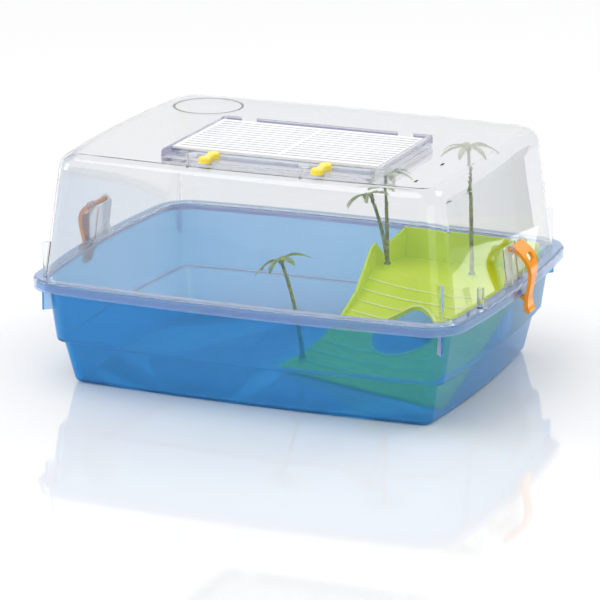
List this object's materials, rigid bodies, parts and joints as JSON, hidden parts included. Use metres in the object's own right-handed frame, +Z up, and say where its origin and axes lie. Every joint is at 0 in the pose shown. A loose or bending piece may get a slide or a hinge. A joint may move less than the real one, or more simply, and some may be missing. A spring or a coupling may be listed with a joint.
{
  "type": "turtle tank",
  "caption": "Turtle tank: a blue translucent tub with a clear clip-on cover, a hinged vent hatch with turn latches, and a ramped platform with palm trees inside.",
  "frame": {"origin": "on the floor below the middle of the tank", "axes": "+X along the length to the right, -Y to the front with the latches, +Z up"},
  "size_m": [0.5234, 0.3948, 0.2643],
  "materials": {
    "tub_blue": "translucent gloss",
    "cover_clear": "clear gloss",
    "cap_clear": "clear gloss",
    "hatch_clear": "clear gloss",
    "keeper_clear": "clear gloss",
    "pin_clear": "clear gloss",
    "grille_white": "satin",
    "latch_yellow": "gloss",
    "clip_orange": "gloss",
    "platform_green": "satin",
    "palm_trunk": "satin",
    "palm_leaf": "satin"
  },
  "bodies": {
    "tub": {"base_tub": "tub_blue"},
    "cover": {"cover": "cover_clear", "port_cap": "cap_clear", "latch_keeper_left": "keeper_clear", "latch_keeper_right": "keeper_clear"},
    "hatch": {"hatch_frame": "hatch_clear", "vent_grille": "grille_white", "hinge_pin_left": "pin_clear", "hinge_pin_right": "pin_clear"},
    "latch_left": {"latch_knob_left": "latch_yellow"},
    "latch_right": {"latch_knob_right": "latch_yellow"},
    "clip_left": {"end_clip_left": "clip_orange"},
    "clip_right": {"end_clip_right": "clip_orange"},
    "platform": {"platform": "platform_green", "front_palm_trunk": "palm_trunk", "front_palm_crown": "palm_leaf", "pair_palm_trunk": "palm_trunk", "pair_palm_crown_left": "palm_leaf", "pair_palm_crown_right": "palm_leaf", "back_palm_trunk": "palm_trunk", "back_palm_crown": "palm_leaf"}
  },
  "joints": [
    {"name": "cover_lift", "type": "slide", "parent": "tub", "child": "cover", "axis": [0, 0, 1], "range_m": [0, 0.15]},
    {"name": "hatch_hinge", "type": "hinge", "parent": "cover", "child": "hatch", "pos_m": [0.0195, 0.0184, 0.2557], "axis": [-1, 0, 0], "range_deg": [0, 95]},
    {"name": "latch_left_turn", "type": "hinge", "parent": "hatch", "child": "latch_left", "pos_m": [-0.0465, -0.1395, 0.2585], "axis": [0, 0, -1], "range_deg": [0, 45]},
    {"name": "latch_right_turn", "type": "hinge", "parent": "hatch", "child": "latch_right", "pos_m": [0.0785, -0.1395, 0.2585], "axis": [0, 0, -1], "range_deg": [0, 45]},
    {"name": "clip_left_swing", "type": "hinge", "parent": "cover", "child": "clip_left", "pos_m": [-0.241, 0, 0.159], "axis": [0, 1, 0], "range_deg": [-4, 60]},
    {"name": "clip_right_swing", "type": "hinge", "parent": "cover", "child": "clip_right", "pos_m": [0.241, 0, 0.159], "axis": [0, -1, 0], "range_deg": [-4, 60]},
    {"name": "platform_lift", "type": "slide", "parent": "tub", "child": "platform", "axis": [0, 0, 1], "range_m": [0, 0.012]}
  ]
}
